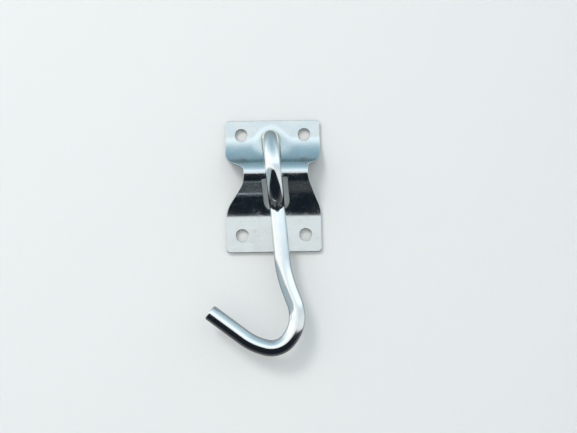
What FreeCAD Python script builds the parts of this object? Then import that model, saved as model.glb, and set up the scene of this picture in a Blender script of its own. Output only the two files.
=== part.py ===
"""Wall-mounted hammock hook.

A stamped wall plate carries a raised bridge, and a bent rod hook is linked round it. The rod runs up
behind the bridge, turns out through the upper slot, comes down in front of the bridge and closes on its
own shank, so the eye can't come off. The shank ends in an open J.

Frame: X to the right, Z up, the wall is the plane y = 0 and the front faces -Y. The origin is the middle
of the four screw holes on the back face. Millimetres throughout. "Depth" is the distance from the wall.
The hook, the slots and the arch are drawn upright and then leaned together, foot to the right.
"""
import FreeCAD
import Part

import math
import os

V = FreeCAD.Vector
X_AXIS = V(1, 0, 0)
Y_AXIS = V(0, 1, 0)

# Wall plate: sheet, screw holes and outline
SHEET = 1.8                   # thickness of the plate
PLATE_WIDTH = 42.8
HOLE_DIAMETER = 5.5
HOLE_SPACING_X = 28.5
HOLE_SPACING_Z = 45.5
TOP_MARGIN = 6.65             # upper holes' centres to the top edge
FOOT_MARGIN = 7.65            # lower holes' centres to the bottom edge
PLATE_CORNER = 1.6            # radius of the four outer corners
NECK_WIDTH = 28.3             # narrowest width, at the bridge
NECK_SHIFT = 1.4              # how far the neck is stamped to the right of the plate's middle
WING_FOOT = 10.3              # height at which the upper wings' sides end
WING_SLOPE = 25.0             # degrees by which the wings' lower edges fall towards the neck
WING_CORNER = 6.0             # radius of the wings' lower corners
NECK_CORNER = 1.6             # radius where a wing runs into the neck
NECK_LENGTH = 5.5             # height of the neck's sides, from the wings down to where they widen
FLARE_END = -10.8             # height at which the widening sides reach the full width
FLARE_INNER = 8.0             # radius at the neck end of the flare
FLARE_OUTER = 14.0            # radius at the wide end of the flare

# Raised bridge, seen from the side
CREST_HEIGHT = 4.3            # height of the foremost line of the crest
CREST_RADIUS = 5.2            # front radius of the crest
UPPER_RUN = 0.05              # straight run from the crest to the upper bend, next to nothing
LOWER_SLOPE = 52.0            # degrees from vertical of the underside
UPPER_BEND = 14.0             # front radius where the upper side leaves the flat
LOWER_BEND = 15.0             # front radius where the underside meets the flat

# Rod and the closed eye
ROD = 7.0                     # diameter of the rod
LEG_SLOPE = 5.0               # degrees by which the rod comes away from the wall on its way down
EYE_HEIGHT = 5.7              # height of the centre of the eye's front ring
EYE_INSIDE = 12.0             # inside radius of the eye's front ring
TOP_BEND_INSIDE = 3.5         # inside radius of the bend through the upper slot
EYE_END = 74.0                # degrees that the front ring runs on below its foremost point
HOOK_LEAN = 4.8               # degrees by which the hook leans, foot to the right
LEAN_HEIGHT = 9.7             # height at which the leaning hook crosses the middle of the plate

# Shank and open J, drawn flat: lengths and axis radii down the rod from the eye's centre
SHANK_LENGTH = 38.9           # straight part
SIDE_BEND = 56.0              # gentle bend to the right
SIDE_ANGLE = 15.6             # degrees turned by it
SIDE_RUN = 5.3                # straight part between the side bend and the J
J_FIRST = 16.2                # first bend of the J, to the left
J_FIRST_ANGLE = 62.0
J_TIGHT = 9.5                 # tightest bend, at the bottom of the J
J_TIGHT_ANGLE = 61.0
J_EASY = 26.5                 # easy curve from the bottom into the tip
J_EASY_ANGLE = 24.3
TIP_RUN = 18.3                # straight part up to the tip
ROD_END_BEVEL = 0.5           # bevel round both sawn ends of the rod

# Slots in the plate
LOWER_SLOT_WIDTH = 11.4
LOWER_SLOT_CORNER = 4.0       # corner radius at the bottom of the lower slot
LOWER_SLOT_RISE = 3.7         # height of its bottom edge above the foot of the bridge
WEB_ABOVE = 45.0              # degrees of crest that stay between the slots, above the foremost line
WEB_BELOW = 30.0              # degrees of crest that stay below it

# Shallow arch pressed out round the upper slot
ARCH_RADIUS = 22.0            # front radius across the arch
ARCH_SLOPE = 17.0             # degrees from vertical of its ridge

# Clearances between the rod and what it passes
WALL_GAP = 0.75               # back of the rod to the wall, at the top of the leg
BRIDGE_PLAY = 3.5             # front of the rod to the back of the crest
EYE_GAP = 0.3                 # end of the front ring to the shank
SLOT_GAP = 0.4                # each side of the rod in the upper slot
SLOT_END_GAP = 1.3            # top of the rod to the top of the upper slot
ARCH_GAP = 0.6                # top of the upper slot to the top of the arch

# Sizes that follow from the ones above
PLATE_TOP = HOLE_SPACING_Z / 2 + TOP_MARGIN
PLATE_BOTTOM = -HOLE_SPACING_Z / 2 - FOOT_MARGIN
ROD_RADIUS = ROD / 2
EYE_RADIUS = EYE_INSIDE + ROD_RADIUS
TOP_BEND = TOP_BEND_INSIDE + ROD_RADIUS
LEG_TOP = EYE_HEIGHT + EYE_RADIUS - TOP_BEND
PAST = 5.0                    # how far cutting tools reach beyond the plate


def sin(degrees):
    return math.sin(math.radians(degrees))


def cos(degrees):
    return math.cos(math.radians(degrees))


def tan(degrees):
    return math.tan(math.radians(degrees))


def side(depth, height):
    """A point in the middle plane of the part, x = 0."""
    return V(0, -depth, height)


def line(start, end):
    return Part.LineSegment(start, end).toShape()


def lean(shape):
    """Lean an upright shape with the hook, foot to the right."""
    shape.rotate(V(0, 0, LEAN_HEIGHT), Y_AXIS, -HOOK_LEAN)
    return shape


def leg_depth(height):
    """Depth of the rod's axis behind and below the bridge."""
    return ROD_RADIUS / cos(LEG_SLOPE) + WALL_GAP + (LEG_TOP - height) * tan(LEG_SLOPE)


def crest_depth():
    """Depth of the crest's front: the rod, its play and the sheet, one in front of the other."""
    rod_front = leg_depth(CREST_HEIGHT) + ROD_RADIUS / cos(LEG_SLOPE)
    return rod_front + BRIDGE_PLAY + SHEET


def crest_centre():
    return crest_depth() - CREST_RADIUS, CREST_HEIGHT


def upper_centres():
    """From the crest's centre to the upper bend's: how much deeper, how far apart and how much higher."""
    centre_depth, centre_height = crest_centre()
    deeper = SHEET + UPPER_BEND - centre_depth
    apart = math.hypot(CREST_RADIUS + UPPER_BEND, UPPER_RUN)
    return deeper, apart, math.sqrt(apart ** 2 - deeper ** 2)


def upper_slope():
    """Degrees from vertical of the upper side, where the crest passes into the upper bend."""
    deeper, apart, higher = upper_centres()
    return math.degrees(math.acos(deeper / apart) - math.atan2(UPPER_RUN, CREST_RADIUS + UPPER_BEND))


def upper_bend_height():
    """Height at which the plate leaves the flat above the bridge."""
    deeper, apart, higher = upper_centres()
    return CREST_HEIGHT + higher


def bridge_foot_height():
    """Height at which the plate is flat again below the bridge."""
    centre_depth, centre_height = crest_centre()
    crest_end = centre_depth + CREST_RADIUS * cos(LOWER_SLOPE)
    bend_end = SHEET + LOWER_BEND * (1 - cos(LOWER_SLOPE))
    straight_fall = (crest_end - bend_end) / tan(LOWER_SLOPE)
    return centre_height - (CREST_RADIUS + LOWER_BEND) * sin(LOWER_SLOPE) - straight_fall


def arc_about(centre, radius, start, end):
    """Arc in the middle plane. Angles are degrees above straight out from the wall."""
    depth, height = centre
    points = []
    for angle in (start, (start + end) / 2, end):
        points.append(side(depth + radius * cos(angle), height + radius * sin(angle)))
    return Part.Arc(*points).toShape()


def under_surface(inset, floor):
    """Solid from the depth called floor out to the plate's front surface, moved back by inset."""
    flat = SHEET - inset
    top = PLATE_TOP + PAST
    bottom = PLATE_BOTTOM - PAST
    upper = (SHEET + UPPER_BEND, upper_bend_height())
    lower = (SHEET + LOWER_BEND, bridge_foot_height())
    upper_arc = arc_about(upper, UPPER_BEND + inset, 180, 180 + upper_slope())
    crest_arc = arc_about(crest_centre(), CREST_RADIUS - inset, upper_slope(), -LOWER_SLOPE)
    lower_arc = arc_about(lower, LOWER_BEND + inset, 180 - LOWER_SLOPE, 180)
    edges = [
        line(side(floor, bottom), side(floor, top)),
        line(side(floor, top), side(flat, top)),
        line(side(flat, top), side(flat, upper[1])),
        upper_arc,
        line(upper_arc.lastVertex().Point, crest_arc.firstVertex().Point),
        crest_arc,
        line(crest_arc.lastVertex().Point, lower_arc.firstVertex().Point),
        lower_arc,
        line(side(flat, lower[1]), side(flat, bottom)),
        line(side(flat, bottom), side(floor, bottom)),
    ]
    face = Part.Face(Part.Wire(Part.__sortEdges__(edges)))
    face.translate(V(-PLATE_WIDTH / 2 - PAST, 0, 0))
    return face.extrude(V(PLATE_WIDTH + 2 * PAST, 0, 0))


def arch_roll(radius):
    """Slanting round bar whose ridge comes out of the flat just above the upper slot."""
    ridge_top = upper_slot_top() + ARCH_GAP
    length = (ridge_top - CREST_HEIGHT) / cos(ARCH_SLOPE) + PAST
    start = side(SHEET - ARCH_RADIUS * cos(ARCH_SLOPE), ridge_top - ARCH_RADIUS * sin(ARCH_SLOPE))
    along = side(sin(ARCH_SLOPE), -cos(ARCH_SLOPE))
    bar = Part.makeCylinder(radius, length + ARCH_RADIUS, start - along * PAST, along)
    reach = 2 * ARCH_RADIUS
    keep = Part.makeBox(2 * reach, reach, ridge_top - CREST_HEIGHT + PAST, V(-reach, -reach, CREST_HEIGHT))
    return lean(bar.common(keep))


def rounded_outline(corners):
    """Closed wire in the X-Z plane through corners, each given as x, z and its radius."""
    count = len(corners)
    edges = []
    ends = []
    for i in range(count):
        before = V(corners[i - 1][0], 0, corners[i - 1][1])
        here = V(corners[i][0], 0, corners[i][1])
        after = V(corners[(i + 1) % count][0], 0, corners[(i + 1) % count][1])
        to_before = (before - here).normalize()
        to_after = (after - here).normalize()
        half = to_before.getAngle(to_after) / 2
        reach = corners[i][2] / math.tan(half)
        middle = (to_before + to_after).normalize()
        nearest = here + middle * (corners[i][2] / math.sin(half) - corners[i][2])
        start = here + to_before * reach
        end = here + to_after * reach
        edges.append(Part.Arc(start, nearest, end).toShape())
        ends.append((start, end))
    for i in range(count):
        edges.append(line(ends[i][1], ends[(i + 1) % count][0]))
    return Part.Wire(Part.__sortEdges__(edges))


def through_plate(wire):
    """Prism of a front outline that reaches from behind the wall to in front of the bridge."""
    face = Part.Face(wire)
    face.translate(V(0, PAST, 0))
    return face.extrude(V(0, -crest_depth() - 2 * PAST, 0))


def plate_outline():
    """Waisted outline: square wings above, narrow at the bridge, flared below."""
    half = PLATE_WIDTH / 2
    corners = []
    for hand in (1, -1):
        neck = NECK_WIDTH / 2 + hand * NECK_SHIFT
        neck_top = WING_FOOT - (half - neck) * tan(WING_SLOPE)
        downwards = [
            (hand * half, PLATE_TOP, PLATE_CORNER),
            (hand * half, WING_FOOT, WING_CORNER),
            (hand * neck, neck_top, NECK_CORNER),
            (hand * neck, neck_top - NECK_LENGTH, FLARE_INNER),
            (hand * half, FLARE_END, FLARE_OUTER),
            (hand * half, PLATE_BOTTOM, PLATE_CORNER),
        ]
        corners += downwards[::hand]
    return rounded_outline(corners)


def screw_holes():
    drills = []
    for x in (-HOLE_SPACING_X / 2, HOLE_SPACING_X / 2):
        for z in (-HOLE_SPACING_Z / 2, HOLE_SPACING_Z / 2):
            drills.append(Part.makeCylinder(HOLE_DIAMETER / 2, SHEET + 2 * PAST, V(x, PAST, z), -Y_AXIS))
    return Part.makeCompound(drills)


def slots():
    """Both slots as one cutter, with the web of the bridge left between them."""
    upper_half = ROD_RADIUS + SLOT_GAP
    lower_half = LOWER_SLOT_WIDTH / 2
    end_height = upper_slot_top() - upper_half
    bottom = bridge_foot_height() + LOWER_SLOT_RISE
    upper_edges = [
        line(V(-upper_half, 0, CREST_HEIGHT), V(-upper_half, 0, end_height)),
        Part.Arc(V(-upper_half, 0, end_height), V(0, 0, upper_slot_top()), V(upper_half, 0, end_height)).toShape(),
        line(V(upper_half, 0, end_height), V(upper_half, 0, CREST_HEIGHT)),
        line(V(upper_half, 0, CREST_HEIGHT), V(-upper_half, 0, CREST_HEIGHT)),
    ]
    upper = through_plate(Part.Wire(upper_edges))
    lower = through_plate(rounded_outline([
        (-lower_half, CREST_HEIGHT, SLOT_GAP),
        (lower_half, CREST_HEIGHT, SLOT_GAP),
        (lower_half, bottom, LOWER_SLOT_CORNER),
        (-lower_half, bottom, LOWER_SLOT_CORNER),
    ]))
    return lean(upper.fuse(lower).cut(web_wedge()))


def web_wedge():
    """Wedge from the crest's centre that covers the web, so the slots end square to the sheet."""
    centre_depth, centre_height = crest_centre()
    reach = 3 * CREST_RADIUS
    corners = [side(centre_depth, centre_height)]
    for angle in (-WEB_BELOW, WEB_ABOVE):
        corners.append(side(centre_depth + reach * cos(angle), centre_height + reach * sin(angle)))
    face = Part.Face(Part.makePolygon(corners + corners[:1]))
    face.translate(V(-LOWER_SLOT_WIDTH, 0, 0))
    return face.extrude(V(2 * LOWER_SLOT_WIDTH, 0, 0))


def wall_plate():
    """The stamping: an even sheet between two surfaces, trimmed to its outline and pierced."""
    front = under_surface(0, 0).fuse(arch_roll(ARCH_RADIUS))
    back = under_surface(SHEET, -PAST).fuse(arch_roll(ARCH_RADIUS - SHEET))
    sheet = front.cut(back)
    plate = sheet.common(through_plate(plate_outline()))
    plate = plate.cut(screw_holes()).cut(slots())
    return plate.removeSplitter().Solids[0]


def eye_centre():
    """Centre of the front ring, placed so that the ring's end face just clears the shank."""
    inner_end = EYE_HEIGHT - EYE_INSIDE * sin(EYE_END)
    shank_front = leg_depth(inner_end) + (ROD_RADIUS + EYE_GAP) / cos(LEG_SLOPE)
    return shank_front - EYE_INSIDE * cos(EYE_END), EYE_HEIGHT


def top_bend():
    """Centre of the bend through the upper slot, and where it passes into the ring, in degrees."""
    ring_depth, ring_height = eye_centre()
    from_leg = (ring_depth - leg_depth(ring_height)) * cos(LEG_SLOPE)
    apart = EYE_RADIUS - TOP_BEND
    meeting = 90 + LEG_SLOPE - math.degrees(math.asin((TOP_BEND - from_leg) / apart))
    return (ring_depth + apart * cos(meeting), ring_height + apart * sin(meeting)), meeting


def upper_slot_top():
    (depth, height), meeting = top_bend()
    return height + TOP_BEND + ROD_RADIUS + SLOT_END_GAP


def eye_edges():
    """Ring end, front ring and top bend, in that order."""
    centre, meeting = top_bend()
    return [
        arc_about(eye_centre(), EYE_RADIUS, -EYE_END, meeting),
        arc_about(centre, TOP_BEND, meeting, 180 + LEG_SLOPE),
    ]


class Walk:
    """A path of straight runs and tangent bends, drawn flat and laid on the shank's sloping plane."""

    def __init__(self, start):
        self.here = (0.0, 0.0)
        self.heading = 0.0
        self.start = start
        self.down = side(sin(LEG_SLOPE), -cos(LEG_SLOPE))
        self.edges = []

    def place(self, across, along):
        return self.start + X_AXIS * across + self.down * along

    def run(self, length):
        end = (self.here[0] + length * sin(self.heading), self.here[1] + length * cos(self.heading))
        self.edges.append(line(self.place(*self.here), self.place(*end)))
        self.here = end

    def bend(self, radius, angle):
        """Positive angles turn to the right of the plate, negative ones to the left."""
        hand = 1 if angle > 0 else -1
        centre_x = self.here[0] + hand * radius * cos(self.heading)
        centre_y = self.here[1] - hand * radius * sin(self.heading)
        points = []
        for share in (0, 0.5, 1):
            turned = self.heading + angle * share
            points.append((centre_x - hand * radius * cos(turned), centre_y + hand * radius * sin(turned)))
        self.edges.append(Part.Arc(*[self.place(*point) for point in points]).toShape())
        self.here = points[-1]
        self.heading += angle


def rod_path():
    """The rod's axis from the end of the eye to the tip of the J."""
    eye = eye_edges()
    leg_start = eye[-1].lastVertex().Point
    shank = side(leg_depth(EYE_HEIGHT), EYE_HEIGHT)
    walk = Walk(leg_start)
    walk.run((shank - leg_start).Length + SHANK_LENGTH)
    walk.bend(SIDE_BEND, SIDE_ANGLE)
    walk.run(SIDE_RUN)
    walk.bend(J_FIRST, -J_FIRST_ANGLE)
    walk.bend(J_TIGHT, -J_TIGHT_ANGLE)
    walk.bend(J_EASY, -J_EASY_ANGLE)
    walk.run(TIP_RUN)
    return Part.Wire(eye + walk.edges)


def hook():
    """The bent rod, round in section all the way, with a small bevel on both sawn ends."""
    path = rod_path()
    first = path.Edges[0]
    start = first.valueAt(first.FirstParameter)
    section = Part.Wire(Part.Circle(start, first.tangentAt(first.FirstParameter), ROD_RADIUS).toShape())
    rod = path.makePipeShell([section], True, False)
    tip = path.Edges[-1].lastVertex().Point
    rims = []
    for edge in rod.Edges:
        for end in (start, tip):
            if edge.Curve.TypeId == "Part::GeomCircle" and edge.Curve.Center.distanceToPoint(end) < ROD_END_BEVEL:
                if abs(edge.Curve.Radius - ROD_RADIUS) < ROD_END_BEVEL / 2:
                    rims.append(edge)
    return lean(rod.makeChamfer(ROD_END_BEVEL, rims))


def main():
    os.makedirs("parts", exist_ok=True)
    for name, shape in (("wall_plate", wall_plate()), ("hook", hook())):
        shape.exportStep(os.path.join("parts", name + ".step"))
        box = shape.BoundBox
        size = (round(box.XLength, 2), round(box.YLength, 2), round(box.ZLength, 2))
        print(name, "valid", shape.isValid(), "solids", len(shape.Solids), "volume", round(shape.Volume, 1), size)
    print("crest depth", round(crest_depth(), 2), "eye centre", eye_centre(), "top bend", top_bend())
    print("bridge from", round(upper_bend_height(), 2), "to", round(bridge_foot_height(), 2))
    print("upper slot top", round(upper_slot_top(), 2))


main()
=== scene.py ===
# %% [markdown]
# # A zinc-plated hammock hook
# The object has two pieces. A stamped steel plate is screwed to a wall, and a bent steel rod hangs on its
# raised bridge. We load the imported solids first: they fix where everything is and how large it is. The two
# pieces are then made again as finer meshes in the same place, because plated metal shows every facet and
# every edge in its reflections.

# %% Load the frame
import bmesh
import bpy
import math
import numpy as np
from mathutils import Matrix, Vector
from mathutils.geometry import delaunay_2d_cdt


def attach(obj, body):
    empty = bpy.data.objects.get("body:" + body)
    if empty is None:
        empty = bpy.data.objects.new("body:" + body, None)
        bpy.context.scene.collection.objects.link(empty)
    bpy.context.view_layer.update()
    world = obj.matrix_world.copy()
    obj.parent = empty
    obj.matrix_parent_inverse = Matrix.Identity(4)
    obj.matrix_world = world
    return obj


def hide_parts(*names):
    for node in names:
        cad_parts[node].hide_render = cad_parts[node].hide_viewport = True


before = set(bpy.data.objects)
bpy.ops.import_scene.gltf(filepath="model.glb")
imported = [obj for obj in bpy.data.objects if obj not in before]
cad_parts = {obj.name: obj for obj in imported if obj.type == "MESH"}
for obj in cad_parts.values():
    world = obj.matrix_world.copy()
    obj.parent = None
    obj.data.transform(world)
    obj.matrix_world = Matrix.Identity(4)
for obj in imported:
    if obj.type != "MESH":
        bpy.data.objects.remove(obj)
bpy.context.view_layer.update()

MM = 0.001

# %% [markdown]
# ## Camera
# The photograph is taken from a little below the plate, looking up by four degrees, and the object is turned
# by almost one degree in the picture. A camera object could be turned with rotation angles, but its matrix
# is clearer here: the columns are the directions right, up and backwards.

# %% Camera
CAMERA_PLACE = Vector((0.0066545, -0.3616247, -0.0411778))
CAMERA_PITCH = math.radians(4.2556)
CAMERA_ROLL = math.radians(0.9)

camera = bpy.data.objects.new("camera", bpy.data.cameras.new("camera"))
bpy.context.collection.objects.link(camera)
camera.data.lens = 50
camera.data.sensor_width = 36
level_up = Vector((0, -math.sin(CAMERA_PITCH), math.cos(CAMERA_PITCH)))
level_right = Vector((1, 0, 0))
right = level_right * math.cos(CAMERA_ROLL) - level_up * math.sin(CAMERA_ROLL)
up = level_up * math.cos(CAMERA_ROLL) + level_right * math.sin(CAMERA_ROLL)
camera.matrix_world = Matrix.LocRotScale(
    CAMERA_PLACE, Matrix((right, up, right.cross(up))).transposed(), None)
bpy.context.scene.camera = camera
bpy.context.scene.view_settings.view_transform = "Standard"
print("camera looks up by %.1f degrees" % math.degrees(CAMERA_PITCH))


# %% [markdown]
# ## Small helpers
# A mesh is a list of points and a list of faces. Both pieces below are worked out in millimetres, as on a
# drawing, and Blender wants metres, so one helper turns the lists into an object. It also takes one normal
# for each point. Blender could work the normals out from the faces, but we know the exact ones, and with
# them a reflection runs smoothly over a bend made of many small faces.

# %% Helper: a mesh object from lists
def mesh_piece(name, points, faces, normals):
    """Object from points in millimetres, with a smooth normal given for every point."""
    mesh = bpy.data.meshes.new(name)
    mesh.from_pydata([Vector(point) * MM for point in points], [], faces)
    shell = bmesh.new()
    shell.from_mesh(mesh)
    bmesh.ops.recalc_face_normals(shell, faces=shell.faces)
    shell.to_mesh(mesh)
    shell.free()
    mesh.polygons.foreach_set("use_smooth", [True] * len(mesh.polygons))
    mesh.normals_split_custom_set_from_vertices(normals)
    piece = bpy.data.objects.new(name, mesh)
    bpy.context.collection.objects.link(piece)
    print("%s: %d points, %d faces" % (name, len(points), len(faces)))
    return piece


# %% [markdown]
# ## The rod's line
# The rod is one bent length of round bar. Its centre line is a chain of straight runs and arcs: the ring in
# front of the bridge, the bend through the upper slot, the long straight leg, a gentle bend to the side and
# the open J. The sizes are those of the solids. "Depth" is the distance from the wall, and the whole hook is
# drawn upright first and then leaned a little, foot to the right, as it hangs in the photograph.

# %% Sizes of the rod
ROD_RADIUS = 3.5
LEG_SLOPE = math.radians(5)   # how the rod comes away from the wall on its way down
LEAN = math.radians(4.8)      # how the whole hook leans in the front view
LEAN_HEIGHT = 9.7             # height at which the leaning hook crosses the middle of the plate
EYE_HEIGHT = 5.7              # height of the ring's centre
EYE_RADIUS = 15.5             # radius of the ring's centre line
TOP_BEND = 7.0                # radius of the bend through the upper slot
EYE_END = math.radians(74)    # how far the ring runs on below its foremost point
EYE_GAP = 0.3                 # end of the ring to the shank
WALL_GAP = 0.75               # rod to the wall, at the top of the leg
SLOT_END_GAP = 1.3            # top of the rod to the top of the upper slot
LEG_TOP = EYE_HEIGHT + EYE_RADIUS - TOP_BEND


def leg_depth(height):
    """Depth of the leg's centre line at a height."""
    return ROD_RADIUS / math.cos(LEG_SLOPE) + WALL_GAP + (LEG_TOP - height) * math.tan(LEG_SLOPE)


def leaned(point):
    """Lean an upright point with the hook."""
    x, y, z = point
    rise = z - LEAN_HEIGHT
    return Vector((x * math.cos(LEAN) - rise * math.sin(LEAN), y,
                   LEAN_HEIGHT + x * math.sin(LEAN) + rise * math.cos(LEAN)))


# %% Places that follow from the sizes
inner_end = EYE_HEIGHT - (EYE_RADIUS - ROD_RADIUS) * math.sin(EYE_END)
EYE_DEPTH = (leg_depth(inner_end) + (ROD_RADIUS + EYE_GAP) / math.cos(LEG_SLOPE)
             - (EYE_RADIUS - ROD_RADIUS) * math.cos(EYE_END))
from_leg = (EYE_DEPTH - leg_depth(EYE_HEIGHT)) * math.cos(LEG_SLOPE)
MEETING = math.radians(90) + LEG_SLOPE - math.asin((TOP_BEND - from_leg) / (EYE_RADIUS - TOP_BEND))
TOP_DEPTH = EYE_DEPTH + (EYE_RADIUS - TOP_BEND) * math.cos(MEETING)
TOP_HEIGHT = EYE_HEIGHT + (EYE_RADIUS - TOP_BEND) * math.sin(MEETING)
SLOT_TOP = TOP_HEIGHT + TOP_BEND + ROD_RADIUS + SLOT_END_GAP
print("ring centre %.2f mm from the wall, top bend %.2f, slot top at %.2f" % (EYE_DEPTH, TOP_DEPTH, SLOT_TOP))

# %% Sizes of the leg and the J: straight runs as a length, bends as a radius and the degrees turned
SHANK_LENGTH = 38.9
BENDS_AND_TIP = [
    ("bend", 56.0, 15.6), ("run", 5.3), ("bend", 16.2, -62.0),
    ("bend", 9.5, -61.0), ("bend", 26.5, -24.3), ("run", 18.3),
]
RING_STEP = 0.6               # greatest distance between two rings of points along the rod


# %% Centre line of the rod, as points with their directions
def arc_in_side_view(depth, height, radius, start, end):
    """Points and directions of an arc in the plane x = 0, angles counted up from straight out."""
    count = math.ceil(abs(end - start) * radius / RING_STEP)
    hand = 1 if end > start else -1
    line = []
    for i in range(count + 1):
        angle = start + (end - start) * i / count
        point = (0, -depth - radius * math.cos(angle), height + radius * math.sin(angle))
        line.append((Vector(point), hand * Vector((0, math.sin(angle), math.cos(angle)))))
    return line


def walk_down(start, steps):
    """Points and directions of runs and bends in the plane that slopes with the leg."""
    down = Vector((0, -math.sin(LEG_SLOPE), -math.cos(LEG_SLOPE)))
    across, along, heading = 0.0, 0.0, 0.0
    line = []
    for kind, size, *turn in steps:
        turned = math.radians(turn[0]) if kind == "bend" else 0
        length = size * abs(turned) if kind == "bend" else size
        count = math.ceil(length / RING_STEP)
        for i in range(count):
            middle = heading + turned * (i + 0.5) / count
            chord = length / count
            if turned:
                chord = 2 * size * math.sin(length / count / size / 2)
            across += chord * math.sin(middle)
            along += chord * math.cos(middle)
            now = heading + turned * (i + 1) / count
            direction = Vector((math.sin(now), 0, 0)) + down * math.cos(now)
            line.append((start + Vector((across, 0, 0)) + down * along, direction))
        heading += turned
    return line


ring_line = arc_in_side_view(EYE_DEPTH, EYE_HEIGHT, EYE_RADIUS, -EYE_END, MEETING)
top_line = arc_in_side_view(TOP_DEPTH, TOP_HEIGHT, TOP_BEND, MEETING, math.pi + LEG_SLOPE)
leg_start = top_line[-1][0]
leg = ("run", (leg_start.z - EYE_HEIGHT) / math.cos(LEG_SLOPE) + SHANK_LENGTH)
rod_line = ring_line + top_line[1:] + walk_down(leg_start, [leg] + BENDS_AND_TIP)
rod_length = sum((after[0] - before[0]).length for before, after in zip(rod_line, rod_line[1:]))
print("rod: %d rings, %.1f mm long, tip at" % (len(rod_line), rod_length), leaned(rod_line[-1][0]))

# %% [markdown]
# ## The rod's mesh
# A curve with a round bevel would give the tube in one line, but its ends would be knife-sharp discs. Here
# we lay a ring of points round every point of the centre line instead, and start and end with three smaller
# rings that round off the sawn ends. Each point also keeps its place on the straight bar that the rod was
# bent from, so that drawing lines in the material can follow the bar round every bend.

# %% Sweep the rod
AROUND = 72                   # points in each ring

# Each row is one ring: its distance in from the end, how much smaller it is, and how far its normals have
# turned from the end face to the side of the rod.
END_ROUNDING = [(0.0, 0.5, 0.0), (0.14, 0.15, 0.7), (0.5, 0.0, 1.0)]


def ring_frames(line):
    """For every point of the line its place, direction and two directions across, without any twist."""
    across = Vector((1, 0, 0))
    frames = []
    for place, direction in line:
        across = (across - direction * across.dot(direction)).normalized()
        frames.append((place, direction, across, direction.cross(across)))
    return frames


def sweep_rod(line):
    """Points, faces, normals and places on the straight bar."""
    frames = ring_frames(line)
    rings = []
    for inward, smaller, sideways in END_ROUNDING:
        place, direction, across, other = frames[0]
        rings.append((place + direction * inward, -direction, across, other, smaller, sideways))
    for place, direction, across, other in frames[2:-2]:
        rings.append((place, direction, across, other, 0.0, 1.0))
    for inward, smaller, sideways in reversed(END_ROUNDING):
        place, direction, across, other = frames[-1]
        rings.append((place - direction * inward, direction, across, other, smaller, sideways))
    points, normals, straight, faces = [], [], [], []
    along = 0.0
    for i, (place, direction, across, other, smaller, sideways) in enumerate(rings):
        if i:
            along += (place - rings[i - 1][0]).length
        for k in range(AROUND):
            angle = 2 * math.pi * k / AROUND
            outward = across * math.cos(angle) + other * math.sin(angle)
            points.append(leaned(place + outward * (ROD_RADIUS - smaller)))
            normal = outward * sideways + direction * (1 - sideways)
            normals.append((leaned(normal) - leaned((0, 0, 0))).normalized())
            straight.append((ROD_RADIUS * math.cos(angle), ROD_RADIUS * math.sin(angle), along))
    for i in range(len(rings) - 1):
        for k in range(AROUND):
            following = (k + 1) % AROUND
            low, high = i * AROUND, (i + 1) * AROUND
            faces.append((low + k, low + following, high + following, high + k))
    last = (len(rings) - 1) * AROUND
    faces.append(tuple(range(AROUND - 1, -1, -1)))
    faces.append(tuple(range(last, last + AROUND)))
    return points, faces, normals, straight


rod_points, rod_faces, rod_normals, rod_straight = sweep_rod(rod_line)
rod = mesh_piece("bent_rod", rod_points, rod_faces, rod_normals)
straight = rod.data.attributes.new("straight", "FLOAT_VECTOR", "POINT")
straight.data.foreach_set("vector", [value for point in rod_straight for value in point])
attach(rod, "hook")
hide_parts("hook")

# %% [markdown]
# ## The plate's shape from the side
# Seen from the side, the sheet is flat, bends out, runs over a round crest and comes back in a long easy
# bend. So its depth is a function of the height alone: flat, arc, straight, arc, straight, arc, flat. A
# shallow arch is pressed out round the upper slot, and where it meets the bridge the press leaves a soft
# valley, not a crease. A smooth maximum of the two depths gives exactly that.

# %% Sizes of the plate from the side
SHEET = 1.8
PLATE_TOP = 29.4
PLATE_BOTTOM = -30.4
CREST_HEIGHT = 4.3            # height of the foremost line of the bridge
CREST_RADIUS = 5.2
UPPER_RUN = 0.05              # straight run from the crest to the upper bend, next to nothing
LOWER_SLOPE = math.radians(52)
UPPER_BEND = 14.0
LOWER_BEND = 15.0
BRIDGE_PLAY = 3.5             # front of the rod to the back of the crest
CREST_DEPTH = leg_depth(CREST_HEIGHT) + ROD_RADIUS / math.cos(LEG_SLOPE) + BRIDGE_PLAY + SHEET
CREST_CENTRE = CREST_DEPTH - CREST_RADIUS
upper_radii = CREST_RADIUS + UPPER_BEND
UPPER_SLOPE = math.acos((SHEET + UPPER_BEND - CREST_CENTRE) / math.hypot(upper_radii, UPPER_RUN))
UPPER_SLOPE -= math.atan2(UPPER_RUN, upper_radii)


def bend_height(slope, bend):
    """How far from the crest's height the sheet is flat again, over a slope and its bend."""
    run = CREST_CENTRE + CREST_RADIUS * math.cos(slope) - SHEET - bend * (1 - math.cos(slope))
    return (CREST_RADIUS + bend) * math.sin(slope) + run / math.tan(slope)


BRIDGE_TOP = CREST_HEIGHT + bend_height(UPPER_SLOPE, UPPER_BEND)
BRIDGE_FOOT = CREST_HEIGHT - bend_height(LOWER_SLOPE, LOWER_BEND)
print("crest %.2f mm from the wall, bridge from %.2f down to %.2f" % (CREST_DEPTH, BRIDGE_TOP, BRIDGE_FOOT))


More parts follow.
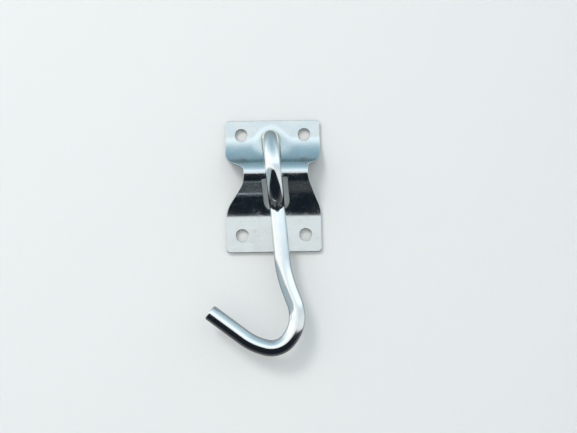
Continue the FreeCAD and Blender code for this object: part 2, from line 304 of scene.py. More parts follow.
# %% Depth of the bridge and of the arch
def bridge_depth(height, inset):
    """Depth of the sheet's front, or of the surface this far behind it, at a height."""
    crest = CREST_RADIUS - inset
    hand = 1 if height > CREST_HEIGHT else -1
    slope, bend, flat_from = (UPPER_SLOPE, UPPER_BEND, BRIDGE_TOP) if hand > 0 else (
        LOWER_SLOPE, LOWER_BEND, BRIDGE_FOOT)
    rise = hand * (height - CREST_HEIGHT)
    left = hand * (flat_from - height)
    if left <= 0:
        return SHEET - inset
    if rise <= crest * math.sin(slope):
        return CREST_CENTRE + math.sqrt(crest ** 2 - rise ** 2)
    if left <= (bend + inset) * math.sin(slope):
        return SHEET + bend - math.sqrt((bend + inset) ** 2 - left ** 2)
    return CREST_CENTRE + crest * math.cos(slope) - (rise - crest * math.sin(slope)) * math.tan(slope)


ARCH_RADIUS = 22.0
ARCH_SLOPE = math.radians(17)
ARCH_GAP = 0.6                # top of the upper slot to the top of the arch
RIDGE_TOP = SLOT_TOP + ARCH_GAP
VALLEY = 0.9                  # difference in depth over which the arch and the bridge melt into each other


def upright(x, z):
    """The place that leaned() would bring to x, z."""
    rise = z - LEAN_HEIGHT
    return (x * math.cos(LEAN) + rise * math.sin(LEAN),
            LEAN_HEIGHT - x * math.sin(LEAN) + rise * math.cos(LEAN))


def sheet_depth(x, z, inset=0.0):
    """Depth of the stamped sheet, with the arch, at a place in the front view."""
    bridge = bridge_depth(z, inset)
    across, height = upright(x, z)
    if height < CREST_HEIGHT or abs(across) >= ARCH_RADIUS - inset:
        return bridge
    reach = math.sqrt((ARCH_RADIUS - inset) ** 2 - across ** 2)
    start = SHEET - ARCH_RADIUS * math.cos(ARCH_SLOPE)
    fall = RIDGE_TOP - ARCH_RADIUS * math.sin(ARCH_SLOPE) + reach * math.sin(ARCH_SLOPE) - height
    arch = start + reach * math.cos(ARCH_SLOPE) + fall * math.tan(ARCH_SLOPE)
    melt = max(VALLEY - abs(arch - bridge), 0) / VALLEY
    return max(arch, bridge) + melt ** 2 * VALLEY / 4


def sheet_point(x, z, inset):
    """Point on the sheet's front, or this far behind it, at a place in the front view."""
    return Vector((x, -sheet_depth(x, z, inset), z))


def sheet_normal(x, z, inset):
    """Direction square to the sheet, out of its front for inset 0 and out of its back otherwise."""
    step = 0.02
    over_x = (sheet_depth(x + step, z, inset) - sheet_depth(x - step, z, inset)) / (2 * step)
    over_z = (sheet_depth(x, z + step, inset) - sheet_depth(x, z - step, inset)) / (2 * step)
    out = Vector((-over_x, -1, -over_z)).normalized()
    return -out if inset else out


# %% [markdown]
# ## The plate's outline, holes and slots
# The blank is pierced and trimmed by a die, so every edge is a run of straight lines and small arcs. One
# function rounds the corners of a polygon, and all of the edges come from it, the screw holes included: a
# square with corners as large as they can be is a circle.

# %% Rounded outlines
PLATE_HALF = 21.4             # half of the plate's width
CORNER_STEPS = 24             # points along each rounded corner


def rounded(corners):
    """Fine closed line through corners given as x, z and radius."""
    line = []
    for i, (x, z, radius) in enumerate(corners):
        here = Vector((x, z))
        to_before = (Vector(corners[i - 1][:2]) - here).normalized()
        to_after = (Vector(corners[(i + 1) % len(corners)][:2]) - here).normalized()
        half = to_before.angle(to_after) / 2
        centre = here + (to_before + to_after).normalized() * radius / math.sin(half)
        begin = here + to_before * radius / math.tan(half) - centre
        turn = begin.angle_signed(here + to_after * radius / math.tan(half) - centre)
        for k in range(CORNER_STEPS + 1):
            line.append(centre + Matrix.Rotation(-turn * k / CORNER_STEPS, 2) @ begin)
    return line


# %% The waisted outline
PLATE_CORNER = 1.6
NECK_HALF = 14.15             # half of the narrowest width
NECK_SHIFT = 1.4              # how far the neck is stamped to the right of the plate's middle
WING_FOOT = 10.3              # height at which the upper wings' sides end
WING_SLOPE = math.radians(25)
WING_CORNER = 6.0
NECK_CORNER = 1.6
NECK_LENGTH = 5.5             # height of the neck's sides
FLARE_END = -10.8             # height at which the widening sides reach the full width
FLARE_INNER = 8.0
FLARE_OUTER = 14.0


def side_corners(hand):
    """Corners of the outline down one side, from the top edge to the bottom edge."""
    neck = NECK_HALF + hand * NECK_SHIFT
    neck_top = WING_FOOT - (PLATE_HALF - neck) * math.tan(WING_SLOPE)
    return [
        (hand * PLATE_HALF, PLATE_TOP, PLATE_CORNER), (hand * PLATE_HALF, WING_FOOT, WING_CORNER),
        (hand * neck, neck_top, NECK_CORNER), (hand * neck, neck_top - NECK_LENGTH, FLARE_INNER),
        (hand * PLATE_HALF, FLARE_END, FLARE_OUTER), (hand * PLATE_HALF, PLATE_BOTTOM, PLATE_CORNER),
    ]


outline = rounded(side_corners(1) + side_corners(-1)[::-1])

# %% The slots and the screw holes
# The web between the two slots reaches this far round the crest, above its foremost line and below it.
WEB_ABOVE = math.radians(45)
WEB_BELOW = math.radians(30)
WEB_TOP = CREST_HEIGHT + CREST_RADIUS * math.sin(WEB_ABOVE)
WEB_FOOT = CREST_HEIGHT - CREST_RADIUS * math.sin(WEB_BELOW)
WEB_CORNER = 0.6
UPPER_SLOT_HALF = 3.9
UPPER_SLOT_CORNER = 3.89      # a touch less than half the width, as for the holes
LOWER_SLOT_HALF = 5.7
LOWER_SLOT_CORNER = 4.0
LOWER_SLOT_FOOT = BRIDGE_FOOT + 3.7
HOLE_RADIUS = 2.75
HOLE_CORNER = HOLE_RADIUS * 0.999
HOLE_SPACING_X = 28.5
HOLE_SPACING_Z = 45.5

upper_slot = rounded([
    (-UPPER_SLOT_HALF, WEB_TOP, WEB_CORNER), (-UPPER_SLOT_HALF, SLOT_TOP, UPPER_SLOT_CORNER),
    (UPPER_SLOT_HALF, SLOT_TOP, UPPER_SLOT_CORNER), (UPPER_SLOT_HALF, WEB_TOP, WEB_CORNER)])
lower_slot = rounded([
    (-LOWER_SLOT_HALF, WEB_FOOT, WEB_CORNER), (LOWER_SLOT_HALF, WEB_FOOT, WEB_CORNER),
    (LOWER_SLOT_HALF, LOWER_SLOT_FOOT, LOWER_SLOT_CORNER),
    (-LOWER_SLOT_HALF, LOWER_SLOT_FOOT, LOWER_SLOT_CORNER)])
holes = []
for x in (-HOLE_SPACING_X / 2, HOLE_SPACING_X / 2):
    for z in (-HOLE_SPACING_Z / 2, HOLE_SPACING_Z / 2):
        square = [(x + a * HOLE_RADIUS, z + b * HOLE_RADIUS) for a, b in ((1, 1), (1, -1), (-1, -1), (-1, 1))]
        holes.append(rounded([(*corner, HOLE_CORNER) for corner in square]))
print("outline and %d holes and slots" % (len(holes) + 2))

# %% [markdown]
# ## The plate's mesh
# We could extrude the outline and bend it with a modifier, but the arch and the exact place of each bend
# would be hard to keep. Instead both faces of the sheet are filled with small triangles, on the flat blank,
# and then every point is lifted to its depth. The blank is measured along the sheet, so the triangles come
# out even on the steep parts too. Each edge gets three rows of points at the front and three at the back,
# which round it off as tumbling and plating do.

# %% The unrolled blank
PROFILE_POINTS = 6001

heights = np.linspace(PLATE_TOP, PLATE_BOTTOM, PROFILE_POINTS)
profile = np.array([bridge_depth(height, 0) for height in heights])
distances = np.concatenate([[0], np.cumsum(np.hypot(np.diff(heights), np.diff(profile)))])
print("the blank is %.1f mm long" % distances[-1])


def unrolled(z):
    """Distance of a height from the top edge, measured along the sheet."""
    return float(np.interp(-z, -heights, distances))


def rolled(distance):
    """Height of a distance from the top edge, measured along the sheet."""
    return float(np.interp(distance, distances, heights))


# %% Even spacing and edge directions
EDGE_STEP = 0.42              # between points along an edge
FINE_STEP = 0.03              # between the points that are measured first


def evenly(line):
    """Points of a fine closed line, an even distance apart on the sheet."""
    fine = []
    for i, point in enumerate(line):
        following = line[(i + 1) % len(line)]
        count = max(1, math.ceil((following - point).length / FINE_STEP))
        fine += [point.lerp(following, k / count) for k in range(count)]
    lengths = [0.0]
    for i in range(len(fine)):
        a, b = fine[i], fine[(i + 1) % len(fine)]
        lengths.append(lengths[-1] + (sheet_point(b.x, b.y, 0) - sheet_point(a.x, a.y, 0)).length)
    count = round(lengths[-1] / EDGE_STEP)
    wanted = np.linspace(0, lengths[-1], count, endpoint=False)
    fine.append(fine[0])
    xs = np.interp(wanted, lengths, [point.x for point in fine])
    zs = np.interp(wanted, lengths, [point.y for point in fine])
    return [Vector((x, z)) for x, z in zip(xs, zs)]


def outward(line, is_hole):
    """Directions in the front view that point away from the metal, one for each point."""
    area = sum(line[i - 1].x * line[i].y - line[i].x * line[i - 1].y for i in range(len(line)))
    hand = 1 if (area > 0) != is_hole else -1
    directions = []
    for i in range(len(line)):
        along = (line[(i + 1) % len(line)] - line[i - 1]).normalized()
        directions.append(Vector((along.y, -along.x)) * hand)
    return directions


# %% Rows of points that round an edge
ROUNDING = 0.28
EDGE_ROWS = [                 # distance in from the edge and down from the face
    (ROUNDING, 0.0), (ROUNDING * 0.3, ROUNDING * 0.3), (0.0, ROUNDING)]
BURR_SLANT = 0.65             # how far the rows move in where the sheet is steep, for each unit of slope
UPPER_PLAIN = 10.0            # height from which the upper slot's walls run straight back
LOWER_PLAIN = 0.3             # the same for the lower slot, downwards


def web_shift(z, is_upper):
    """How far a slot's back edge lies above its front edge, which squares the web's ends to the sheet."""
    angle, plain, web = (
        (-WEB_ABOVE, UPPER_PLAIN, WEB_TOP) if is_upper else (WEB_BELOW, LOWER_PLAIN, WEB_FOOT))
    return SHEET * math.sin(angle) * min(max((z - plain) / (web - plain), 0), 1)


def edge_rows(line, kind):
    """The rows of one edge, from the front face round to the back face."""
    points = evenly(line)
    outs = outward(points, kind != "outline")
    if kind in ("upper", "lower"):
        lean_in = Matrix.Rotation(LEAN, 2)
        pivot = Vector((0, LEAN_HEIGHT))
        backs = [Vector((p.x, p.y + web_shift(p.y, kind == "upper"))) for p in points]
        backs = [lean_in @ (p - pivot) + pivot for p in backs]
        points = [lean_in @ (p - pivot) + pivot for p in points]
        outs = [lean_in @ out for out in outs]
    else:
        backs = points
    rows = []
    for places, inset, turn in ((points, 0.0, 1), (backs, SHEET, -1)):
        for inward, down in EDGE_ROWS:
            row = []
            for place, out in zip(places, outs):
                normal = sheet_normal(place.x, place.y, inset)
                slant = 0.0
                if kind == "outline":
                    lean_out = normal.x * out.x + normal.z * out.y
                    slant = BURR_SLANT * max(-lean_out, 0)
                at = place - out * (inward + slant)
                row.append(sheet_point(at.x, at.y, inset) - sheet_normal(at.x, at.y, inset) * down)
            rows.append(row)
    sides = len(EDGE_ROWS)
    return rows[:sides] + rows[:sides - 1:-1], outs


edges = [edge_rows(outline, "outline")]
edges += [edge_rows(hole, "hole") for hole in holes]
edges += [edge_rows(upper_slot, "upper"), edge_rows(lower_slot, "lower")]
print("points round each edge:", [len(rows[0]) for rows, outs in edges])

# %% Fill one face of the sheet with triangles
GRID = 0.6                    # between points inside the face
ROW_SHARE = 0.8               # the rows lie a little closer than the columns
BORDER_SHARE = 0.55           # and no point lies closer than this to an edge


def inside(loop, spots):
    """Which spots lie inside a closed loop, both as arrays of flat places."""
    within = np.zeros(len(spots), bool)
    for (ax, ay), (bx, by) in zip(loop, np.roll(loop, -1, axis=0)):
        crosses = (spots[:, 1] < ay) != (spots[:, 1] < by)
        if ay != by:
            within ^= crosses & (spots[:, 0] < ax + (spots[:, 1] - ay) * (bx - ax) / (by - ay))
    return within


def fill_face(rows, inset):
    """Points inside the outline and outside the holes, and triangles over them and over the rows."""
    loops = [np.array([(p.x, unrolled(p.z)) for p in row]) for row in rows]
    border = np.concatenate(loops)
    owner = np.repeat(range(len(loops)), [len(loop) for loop in loops])
    lines = []
    for number, loop in enumerate(loops):
        start = int(np.argmax(owner == number))
        lines += [(start + k, start + (k + 1) % len(loop)) for k in range(len(loop))]
    columns = np.arange(-PLATE_HALF + GRID / 2, PLATE_HALF, GRID)
    grid = np.stack(np.meshgrid(columns, np.arange(GRID / 2, distances[-1], GRID * ROW_SHARE)), -1)
    grid = grid.reshape(-1, 2)
    keep = inside(loops[0], grid)
    for loop in loops[1:]:
        keep &= ~inside(loop, grid)
    grid = grid[keep]
    nearest = [np.min(np.hypot(*(border - spot).T)) for spot in grid]
    grid = grid[np.array(nearest) > GRID * BORDER_SHARE]
    spots = [Vector(spot) for spot in np.concatenate([border, grid])]
    places, _, triangles = delaunay_2d_cdt(spots, lines, [], 1, 1e-5)[:3]
    kept = []
    for triangle in triangles:
        owners = set(owner[corner] if corner < len(border) else -1 for corner in triangle)
        if len(owners) == 1 and -1 not in owners:
            middle = sum((places[corner] for corner in triangle), Vector((0, 0))) / 3
            loop = loops[owners.pop()]
            if loop is not loops[0] and inside(loop, np.array([middle]))[0]:
                continue
        kept.append(tuple(triangle))
    inner = [sheet_point(p.x, rolled(p.y), inset) for p in places[len(border):]]
    return inner, kept, len(border)


# %% Put the plate together
TURNED = (0.0, 0.5, 1.0, 1.0, 0.5, 0.0)    # how far each row's normals have turned from the face to the edge

plate_points, plate_normals, plate_faces, edge_share, slot_wall_shade_share = [], [], [], [], []
first_of_row = []
for number, (rows, outs) in enumerate(edges):
    is_slot = number > len(holes)
    starts = []
    for row in rows:
        starts.append(len(plate_points))
        plate_points += row
    first_of_row.append(starts)
    count = len(rows[0])
    for a, b in zip(starts, starts[1:]):
        for k in range(count):
            following = (k + 1) % count
            plate_faces.append((a + k, a + following, b + following, b + k))
    for r, (row, share) in enumerate(zip(rows, TURNED)):
        inset = 0.0 if r < len(EDGE_ROWS) else SHEET
        for k, (point, out) in enumerate(zip(row, outs)):
            face_normal = sheet_normal(point.x, point.z, inset)
            along = row[(k + 1) % count] - row[k - 1]
            edge_normal = along.cross(rows[3][k] - rows[2][k]).normalized()
            edge_normal *= 1 if edge_normal.x * out.x + edge_normal.z * out.y > 0 else -1
            plate_normals.append((face_normal * (1 - share) + edge_normal * share).normalized())
            edge_share.append(share)
            # Points on the slots' walls also get a share of painted shade.
            slot_wall_shade_share.append(share if is_slot else 0.0)

# A face's triangles number the points of its border first, loop after loop, and then the points inside.
for inset, row_index in ((0.0, 0), (SHEET, -1)):
    inner, triangles, start = fill_face([rows[row_index] for rows, outs in edges], inset)
    index = []
    for (rows, outs), starts in zip(edges, first_of_row):
        index += list(range(starts[row_index], starts[row_index] + len(rows[0])))
    offset = len(plate_points) - start
    used = set(corner for triangle in triangles for corner in triangle)
    print("face at inset %.1f: %d triangles, %d loose points" % (
        inset, len(triangles), sum(1 for k in range(start, start + len(inner)) if k not in used)))
    plate_points += inner
    plate_normals += [sheet_normal(p.x, p.z, inset) for p in inner]
    edge_share += [0.0] * len(inner)
    slot_wall_shade_share += [0.0] * len(inner)
    for triangle in triangles:
        plate_faces.append(tuple(index[c] if c < start else c + offset for c in triangle))

plate = mesh_piece("stamped_plate", plate_points, plate_faces, plate_normals)
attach(plate, "plate")
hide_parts("wall_plate")

# %% [markdown]
# ## Light and surroundings
# Polished zinc looks like whatever stands round it, so the surroundings are the real paint here. The
# photograph tells what the metal sees: a pale front up to about 45 degrees, a bluer and darker room above
# it, and near-black below the level of the camera. The world gives those colours by direction. The wall and
# the floor are pale, stay out of the reflections and catch the soft shadow of one lamp.

# %% Node helpers
def ramp(nodes, stops):
    """Colour ramp node with stops given as colours by height, which runs from -1 to 1."""
    node = nodes.new("ShaderNodeValToRGB")
    elements = node.color_ramp.elements
    while len(elements) < len(stops):
        elements.new(0.5)
    for element, (height, colour) in zip(elements, stops):
        element.position = (height + 1) / 2
        element.color = (*colour, 1)
    return node


def glide(nodes, links, value, low, high, start=0.0, end=1.0):
    """Smooth change from start to end while a value runs from low to high."""
    node = nodes.new("ShaderNodeMapRange")
    node.interpolation_type = "SMOOTHSTEP"
    for socket, number in (("From Min", low), ("From Max", high), ("To Min", start), ("To Max", end)):
        node.inputs[socket].default_value = number
    links.new(value, node.inputs["Value"])
    return node.outputs["Result"]


def blended(nodes, links, factor, first, second, kind="MIX"):
    """Colour between first and second, each a colour or an output."""
    node = nodes.new("ShaderNodeMix")
    node.data_type = "RGBA"
    node.blend_type = kind
    for socket, source in (("Factor", factor), ("A", first), ("B", second)):
        if isinstance(source, bpy.types.NodeSocket):
            links.new(source, node.inputs[socket])
        elif socket == "Factor":
            node.inputs[socket].default_value = source
        else:
            node.inputs[socket].default_value = (*source, 1)
    return node.outputs["Result"]


def tinted(nodes, links, share, colour, tint):
    """A colour with some of a tint multiplied over it."""
    return blended(nodes, links, share, colour, blended(nodes, links, 1.0, colour, tint, "MULTIPLY"))


def arithmetic(nodes, links, kind, *values):
    """Result of one sum on two or three values, each a number or an output."""
    node = nodes.new("ShaderNodeMath")
    node.operation = kind
    for socket, source in zip(node.inputs, values):
        if isinstance(source, bpy.types.NodeSocket):
            links.new(source, socket)
        else:
            socket.default_value = source
    return node.outputs["Value"]


# %% World
BY_HEIGHT = [                 # what stands in front, from eye level up
    (0.0, (1.22, 1.18, 1.13)), (0.09, (1.08, 1.07, 1.04)), (0.17, (0.95, 1.01, 1.03)),
    (0.31, (1.24, 1.33, 1.36)), (0.46, (1.12, 1.22, 1.27)), (0.60, (0.86, 0.99, 1.04)),
    (0.77, (0.56, 0.73, 0.80)), (0.90, (0.43, 0.60, 0.68)), (1, (0.34, 0.51, 0.60))]
BY_HEIGHT_BEHIND = [(0, (0.40, 0.43, 0.45)), (0.7, (0.29, 0.32, 0.33)), (1, (0.30, 0.38, 0.41))]
LEFT_TINT = (1.15, 1.12, 1.10)
LOW_RIGHT_TINT = (0.74, 0.80, 0.84)
LOW_LEFT_TINT = (0.30, 0.39, 0.44)
LEFT_LIFT = 0.42
RIGHT_LIFT = 0.28
BELOW = (0.011, 0.016, 0.022)
BELOW_BEHIND = (0.17, 0.165, 0.16)
BACKGROUND = (0.90, 0.90, 0.90)

world = bpy.data.worlds.new("studio")
bpy.context.scene.world = world
world.use_nodes = True
nodes, links = world.node_tree.nodes, world.node_tree.links
nodes.clear()
direction = nodes.new("ShaderNodeTexCoord")
axes = nodes.new("ShaderNodeSeparateXYZ")
links.new(direction.outputs["Generated"], axes.inputs["Vector"])
x, y, z = axes.outputs["X"], axes.outputs["Y"], axes.outputs["Z"]

# By height: pale and warm at eye level, whiter above it, then blue-grey overhead. Behind is dimmer.
height = arithmetic(nodes, links, "MULTIPLY_ADD", z, 0.5, 0.5)
front = ramp(nodes, BY_HEIGHT)
back = ramp(nodes, BY_HEIGHT_BEHIND)
links.new(height, front.inputs["Fac"])
links.new(height, back.inputs["Fac"])
behind = arithmetic(nodes, links, "MULTIPLY_ADD", z, 0.45, y)
room = blended(
    nodes, links, glide(nodes, links, behind, 0.25, 0.95), front.outputs["Color"], back.outputs["Color"])

# From left to right: the left is the brightest, and low on the right it is dimmer.
room = tinted(nodes, links, glide(nodes, links, x, -0.05, -0.40), room, LEFT_TINT)
low_right = arithmetic(nodes, links, "MULTIPLY", glide(nodes, links, x, -0.05, 0.60),
                       glide(nodes, links, z, 0.20, 0.34, 1.0, 0.0))
room = tinted(nodes, links, low_right, room, LOW_RIGHT_TINT)

# Lowest of all on the left it is in the shade.
low_left = arithmetic(nodes, links, "MULTIPLY", glide(nodes, links, x, -0.30, -0.12, 1.0, 0.0),
                      glide(nodes, links, z, -0.04, 0.03, 1.0, 0.0))
room = tinted(nodes, links, low_left, room, LOW_LEFT_TINT)

# Below all of that it is nearly black, and grey behind. This ground reaches less high at the sides.
left_lift = glide(nodes, links, x, -0.25, -1.0, 0.0, LEFT_LIFT)
right_lift = glide(nodes, links, x, 0.25, 1.0, 0.0, RIGHT_LIFT)
level = arithmetic(nodes, links, "ADD", z, arithmetic(nodes, links, "ADD", left_lift, right_lift))
ground = blended(nodes, links, glide(nodes, links, y, -0.25, 0.75), BELOW, BELOW_BEHIND)
room = blended(nodes, links, glide(nodes, links, level, -0.08, -0.02), ground, room)

# The camera itself sees one even pale background past the wall and the floor.
seen = nodes.new("ShaderNodeLightPath")
shade = nodes.new("ShaderNodeBackground")
output = nodes.new("ShaderNodeOutputWorld")
background = blended(nodes, links, seen.outputs["Is Camera Ray"], room, BACKGROUND)
links.new(background, shade.inputs["Color"])
links.new(shade.outputs["Background"], output.inputs["Surface"])


# %% Wall and floor
REACH = 2.0                   # sizes of the stage are in metres
FLOOR_HEIGHT = -0.16
WALL_PLACE = 0.0003           # just behind the back of the plate
STAGE_COLOUR = (0.74, 0.73, 0.72)


def stage_plane(name, points):
    """Pale matt plane that reflections don't show."""
    mesh = bpy.data.meshes.new(name)
    mesh.from_pydata(points, [], [(0, 1, 2, 3)])
    plane = bpy.data.objects.new(name, mesh)
    bpy.context.collection.objects.link(plane)
    paint = bpy.data.materials.new(name)
    paint.use_nodes = True
    shader = paint.node_tree.nodes["Principled BSDF"]
    shader.inputs["Base Color"].default_value = (*STAGE_COLOUR, 1)
    shader.inputs["Roughness"].default_value = 0.9
    shader.inputs["Specular IOR Level"].default_value = 0.1
    mesh.materials.append(paint)
    plane.visible_glossy = False
    plane.visible_shadow = False
    return plane


wall = stage_plane("wall", [
    (-REACH, WALL_PLACE, FLOOR_HEIGHT), (REACH, WALL_PLACE, FLOOR_HEIGHT),
    (REACH, WALL_PLACE, REACH), (-REACH, WALL_PLACE, REACH)])
stage_plane("floor", [
    (-REACH, -REACH, FLOOR_HEIGHT), (REACH, -REACH, FLOOR_HEIGHT),
    (REACH, REACH, FLOOR_HEIGHT), (-REACH, REACH, FLOOR_HEIGHT)])

# From behind, the wall would hide the object, so its back is clear.
tree = wall.data.materials[0].node_tree
side = tree.nodes.new("ShaderNodeNewGeometry")
clear = tree.nodes.new("ShaderNodeBsdfTransparent")
choice = tree.nodes.new("ShaderNodeMixShader")
tree.links.new(side.outputs["Backfacing"], choice.inputs["Fac"])
tree.links.new(tree.nodes["Principled BSDF"].outputs["BSDF"], choice.inputs[1])
tree.links.new(clear.outputs["BSDF"], choice.inputs[2])
tree.links.new(choice.outputs["Shader"], tree.nodes["Material Output"].inputs["Surface"])

# %% Lamp
lamp = bpy.data.objects.new("lamp", bpy.data.lights.new("lamp", "AREA"))
bpy.context.collection.objects.link(lamp)
lamp.data.shape = "DISK"
lamp.data.size = 0.30
lamp.data.energy = 3.2
lamp.location = (-0.35, -0.75, 0.50)
lamp.rotation_euler = (-lamp.location).to_track_quat("-Z", "Y").to_euler()
lamp.visible_glossy = False
print("wall, floor and one lamp of %.0f W" % lamp.data.energy)


# %% [markdown]
# ## Bright zinc plating
# The plating is a thin metal coat, so the material is a metal with a pale, slightly blue colour. What makes
# it look real is what the steel underneath and its handling leave in it: lines from the rolling mill or the
# drawing die, faint clouds where the coat is thicker, and fine scratches from lying in a box with others.
# All of it is read from the flat blank or the straight bar, so it follows every bend.

# %% Texture helpers
def stretched(nodes, links, place, scale, turn=0.0):
    """The place on the blank or bar, turned and stretched."""
    node = nodes.new("ShaderNodeMapping")
    node.inputs["Scale"].default_value = scale
    node.inputs["Rotation"].default_value = (0, 0, math.radians(turn))
    links.new(place, node.inputs["Vector"])
    return node.outputs["Vector"]


def noise(nodes, links, place, scale, detail=2.0):
    """Smooth random value from 0 to 1."""
    node = nodes.new("ShaderNodeTexNoise")
    node.inputs["Scale"].default_value = scale
    node.inputs["Detail"].default_value = detail
    links.new(place, node.inputs["Vector"])
    return node.outputs["Fac"]


def scratches(nodes, links, place, scale, turn, width):
    """Thin long lines in one direction, present only here and there."""
    cells = nodes.new("ShaderNodeTexVoronoi")
    cells.feature = "DISTANCE_TO_EDGE"
    cells.inputs["Scale"].default_value = 1.0
    links.new(stretched(nodes, links, place, scale, turn), cells.inputs["Vector"])
    lines = glide(nodes, links, cells.outputs["Distance"], 0.0, width, 1.0, 0.0)
    patches = glide(nodes, links, noise(nodes, links, place, 0.35), 0.50, 0.62)
    return arithmetic(nodes, links, "MULTIPLY", lines, patches)


def attribute(nodes, name, output):
    """Values stored on the mesh under a name."""
    node = nodes.new("ShaderNodeAttribute")
    node.attribute_name = name
    return node.outputs[output]


# %% Zinc
SCRATCHES = [                 # stretch across and along, degrees turned, width
    ((1.1, 0.10, 1.0), 28, 0.045), ((0.12, 0.9, 0.9), -17, 0.04)]
SCRATCH_COLOUR = (0.92, 0.93, 0.93)


def zinc(name, coordinates, colour, cloud_colour, roughness, grain):
    """Zinc plating whose details follow the named coordinates, in millimetres on the blank or bar."""
    material = bpy.data.materials.new(name)
    material.use_nodes = True
    nodes, links = material.node_tree.nodes, material.node_tree.links
    shader = nodes["Principled BSDF"]
    shader.inputs["Metallic"].default_value = 1.0
    place = attribute(nodes, coordinates, "Vector")
    clouds = glide(nodes, links, noise(nodes, links, place, 0.16, 4.0), 0.35, 0.68)
    lines = noise(nodes, links, stretched(nodes, links, place, grain), 1.0, 3.0)
    marks = arithmetic(
        nodes, links, "MAXIMUM", *[scratches(nodes, links, place, *kind) for kind in SCRATCHES])
    coat = blended(nodes, links, clouds, colour, cloud_colour)
    coat = blended(nodes, links, arithmetic(nodes, links, "MULTIPLY", marks, 0.35), coat, SCRATCH_COLOUR)
    dull = glide(nodes, links, clouds, 0.0, 1.0, roughness * 0.85, roughness * 1.2)
    dull = arithmetic(nodes, links, "ADD", dull, glide(nodes, links, lines, 0.3, 0.7, -0.02, 0.03))
    dull = arithmetic(nodes, links, "ADD", dull, arithmetic(nodes, links, "MULTIPLY", marks, 0.12))
    relief = nodes.new("ShaderNodeBump")
    relief.inputs["Strength"].default_value = 0.05
    relief.inputs["Distance"].default_value = 0.02 * MM
    links.new(arithmetic(nodes, links, "SUBTRACT", lines, marks), relief.inputs["Height"])
    links.new(relief.outputs["Normal"], shader.inputs["Normal"])
    links.new(coat, shader.inputs["Base Color"])
    links.new(dull, shader.inputs["Roughness"])
    return material


rod_zinc = zinc("rod_zinc", "straight", (0.76, 0.81, 0.84), (0.80, 0.83, 0.84), 0.11, (2.6, 2.6, 0.03))
plate_zinc = zinc("plate_zinc", "blank", (0.63, 0.71, 0.75), (0.68, 0.74, 0.76), 0.18, (0.05, 3.2, 1.0))


# %% [markdown]
# The plate's edges were sheared, and the plating never gets bright there: they are greyer and rougher than
# the faces. The narrow gap round the rim of the upper slot gets painted olive shade and reflection, the walls
# of both slots are darkened with painted shade, and the crease above the bridge is a little dull and carries
# painted shade. The mesh knows all of these places, so they are painted by values stored on its points.

# %% Edges, slots and crease of the plate
# Painted shade in the crease above the bridge.
CREASE_SHADE_COLOUR = (0.34, 0.42, 0.42)
# Painted olive shade and reflection in the narrow gap round the upper slot, stored as tint.
GAP_SHADE_COLOUR = (0.36, 0.38, 0.21)
EDGE_COLOUR = (0.56, 0.57, 0.52)
# Painted shade on the walls of both slots.
SLOT_WALL_SHADE_COLOUR = (0.34, 0.35, 0.22)


def dress_edges(material):
    """Lay the sheared edges, the painted olive shade round the upper slot, the painted shade on the slots'
    walls and in the dull crease over the plate's coat.
    """
    nodes, links = material.node_tree.nodes, material.node_tree.links
    shader = nodes["Principled BSDF"]
    coat = shader.inputs["Base Color"].links[0].from_socket
    dull = shader.inputs["Roughness"].links[0].from_socket
    edge = glide(nodes, links, attribute(nodes, "edge", "Fac"), 0.3, 0.9)
    crease = attribute(nodes, "crease", "Fac")
    # painted shade in the crease
    coat = blended(nodes, links, crease, coat, CREASE_SHADE_COLOUR)
    # painted olive shade and reflection round the upper slot's rim
    coat = blended(nodes, links, attribute(nodes, "tint", "Fac"), coat, GAP_SHADE_COLOUR)
    coat = blended(nodes, links, edge, coat, EDGE_COLOUR)
    # painted shade on the slots' walls
    coat = blended(nodes, links, attribute(nodes, "slot_wall_shade", "Fac"), coat, SLOT_WALL_SHADE_COLOUR)
    dull = arithmetic(nodes, links, "ADD", dull, arithmetic(nodes, links, "MULTIPLY", edge, 0.22))
    dull = arithmetic(nodes, links, "ADD", dull, arithmetic(nodes, links, "MULTIPLY", crease, 0.10))
    links.new(coat, shader.inputs["Base Color"])
    links.new(dull, shader.inputs["Roughness"])
    bare = arithmetic(nodes, links, "MULTIPLY", edge, 0.55)
    links.new(arithmetic(nodes, links, "SUBTRACT", 1.0, bare), shader.inputs["Metallic"])


def store(piece, name, values):
    """One number for each point of the mesh."""
    layer = piece.data.attributes.new(name, "FLOAT", "POINT")
    layer.data.foreach_set("value", [float(value) for value in values])


dress_edges(plate_zinc)

# %% Values on the plate's points
# The tint value is painted olive shade and reflection, fading out from the upper slot's rim.
GAP_SHADE_STRENGTH = 0.9
GAP_SHADE_WIDTH = 0.35             # distance from the rim over which the tint fades
GAP_SHADE_FOOT = 14                # height from which it shows
GAP_SHADE_RISE = 8                 # height over which it grows to its full strength
CREASE_HEIGHT = 10.0
CREASE_WIDTH = 1.1

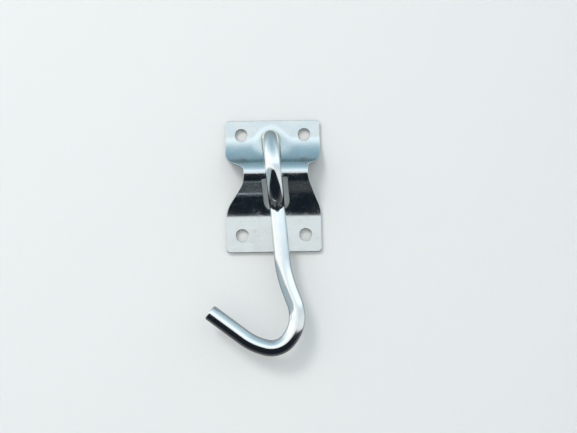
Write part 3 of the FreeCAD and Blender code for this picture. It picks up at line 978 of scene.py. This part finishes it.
upper_slot_rows = edges[-2][0]
slot_rim = np.array([(p.x, p.z) for p in upper_slot_rows[0]])
flat_places = np.array([(p.x, p.z) for p in plate_points])
to_rim = np.array([np.min(np.hypot(*(slot_rim - spot).T)) for spot in flat_places])
fade = np.clip((flat_places[:, 1] - GAP_SHADE_FOOT) / GAP_SHADE_RISE, 0, 1)
store(plate, "tint", GAP_SHADE_STRENGTH * np.exp(-to_rim / GAP_SHADE_WIDTH) * fade)
# The crease value places painted shade and a little dullness in the crease above the bridge.
store(plate, "crease", np.exp(-((flat_places[:, 1] - CREASE_HEIGHT) / CREASE_WIDTH) ** 2))
store(plate, "edge", edge_share)
# painted shade on the slots' walls
store(plate, "slot_wall_shade", slot_wall_shade_share)
blank = plate.data.attributes.new("blank", "FLOAT_VECTOR", "POINT")
blank.data.foreach_set("vector", [value for p in plate_points for value in (p.x, unrolled(p.z), -p.y)])
plate.data.materials.append(plate_zinc)

# %% [markdown]
# The rod's two ends are sawn. The saw leaves parallel lines across the face, and the bare-looking cut takes
# the plating unevenly, so the ends are a dull grey.

# %% Sawn ends
SAWN_DARK = (0.34, 0.35, 0.36)
SAWN_PALE = (0.58, 0.59, 0.59)

sawn = bpy.data.materials.new("sawn_end")
sawn.use_nodes = True
nodes, links = sawn.node_tree.nodes, sawn.node_tree.links
shader = nodes["Principled BSDF"]
shader.inputs["Metallic"].default_value = 1.0
place = attribute(nodes, "straight", "Vector")
saw_lines = noise(nodes, links, stretched(nodes, links, place, (0.15, 5.0, 0.1), 20), 1.0, 3.0)
links.new(blended(nodes, links, saw_lines, SAWN_DARK, SAWN_PALE), shader.inputs["Base Color"])
links.new(glide(nodes, links, saw_lines, 0.2, 0.8, 0.34, 0.52), shader.inputs["Roughness"])
relief = nodes.new("ShaderNodeBump")
relief.inputs["Strength"].default_value = 0.4
relief.inputs["Distance"].default_value = 0.04 * MM
links.new(saw_lines, relief.inputs["Height"])
links.new(relief.outputs["Normal"], shader.inputs["Normal"])
rod.data.materials.append(rod_zinc)
rod.data.materials.append(sawn)
for face in rod.data.polygons:
    if len(face.vertices) == AROUND:
        face.material_index = 1
print("materials:", [material.name for piece in (rod, plate) for material in piece.data.materials])
